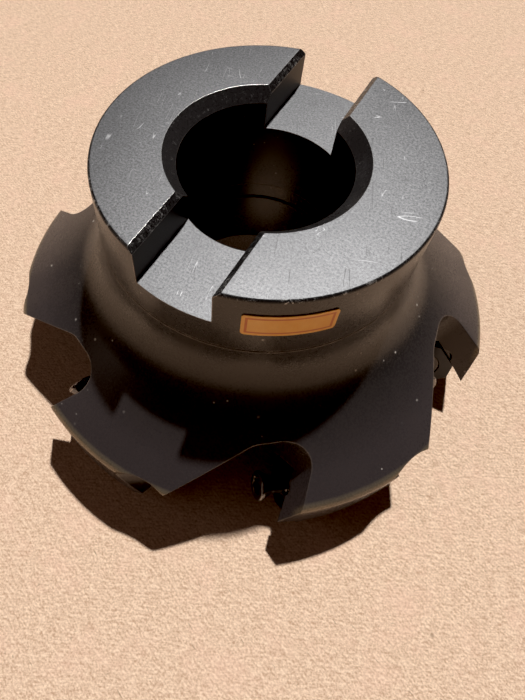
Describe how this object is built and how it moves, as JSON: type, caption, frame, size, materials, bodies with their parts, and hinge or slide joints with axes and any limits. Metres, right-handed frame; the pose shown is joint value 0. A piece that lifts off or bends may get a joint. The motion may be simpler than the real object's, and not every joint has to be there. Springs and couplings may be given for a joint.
{
  "type": "face mill",
  "caption": "Arbor-mounted 45 degree indexable face mill body with insert seats, shims, threaded shim sleeves and insert screws.",
  "frame": {"origin": "on the cutter axis at the front (cutting) face of the body, the lowest point as it stands", "axes": "+Z along the axis towards the arbor face; the drive slot runs along Y"},
  "size_m": [0.0877, 0.0887, 0.049],
  "materials": {
    "body": "black oxide, satin, ground bright on the arbor face",
    "label": "plain printed sticker",
    "shim": "ground carbide grey",
    "sleeve": "black oxide",
    "screw": "black oxide, slightly oily"
  },
  "bodies": {
    "cutter": {"cutter_body": "body", "label": "label", "shim_1": "shim", "shim_2": "shim", "shim_3": "shim", "shim_4": "shim", "shim_5": "shim", "shim_6": "shim", "shim_screw_1": "sleeve", "shim_screw_2": "sleeve", "shim_screw_3": "sleeve", "shim_screw_4": "sleeve", "shim_screw_5": "sleeve", "shim_screw_6": "sleeve"},
    "insert_screw_1": {"insert_screw_1": "screw"},
    "insert_screw_2": {"insert_screw_2": "screw"},
    "insert_screw_3": {"insert_screw_3": "screw"},
    "insert_screw_4": {"insert_screw_4": "screw"},
    "insert_screw_5": {"insert_screw_5": "screw"},
    "insert_screw_6": {"insert_screw_6": "screw"}
  },
  "joints": [
    {"name": "insert_screw_1_travel", "type": "slide", "parent": "cutter", "child": "insert_screw_1", "axis": [0.1999, -0.9403, 0.2756], "range_m": [-0.0016, 0.005]},
    {"name": "insert_screw_2_travel", "type": "slide", "parent": "cutter", "child": "insert_screw_2", "axis": [0.905, -0.324, 0.2756], "range_m": [-0.0016, 0.005]},
    {"name": "insert_screw_3_travel", "type": "slide", "parent": "cutter", "child": "insert_screw_3", "axis": [0.7523, 0.5984, 0.2756], "range_m": [-0.0016, 0.005]},
    {"name": "insert_screw_4_travel", "type": "slide", "parent": "cutter", "child": "insert_screw_4", "axis": [-0.1138, 0.9545, 0.2756], "range_m": [-0.0016, 0.005]},
    {"name": "insert_screw_5_travel", "type": "slide", "parent": "cutter", "child": "insert_screw_5", "axis": [-0.8938, 0.3539, 0.2756], "range_m": [-0.0016, 0.005]},
    {"name": "insert_screw_6_travel", "type": "slide", "parent": "cutter", "child": "insert_screw_6", "axis": [-0.7342, -0.6205, 0.2756], "range_m": [-0.0016, 0.005]}
  ]
}
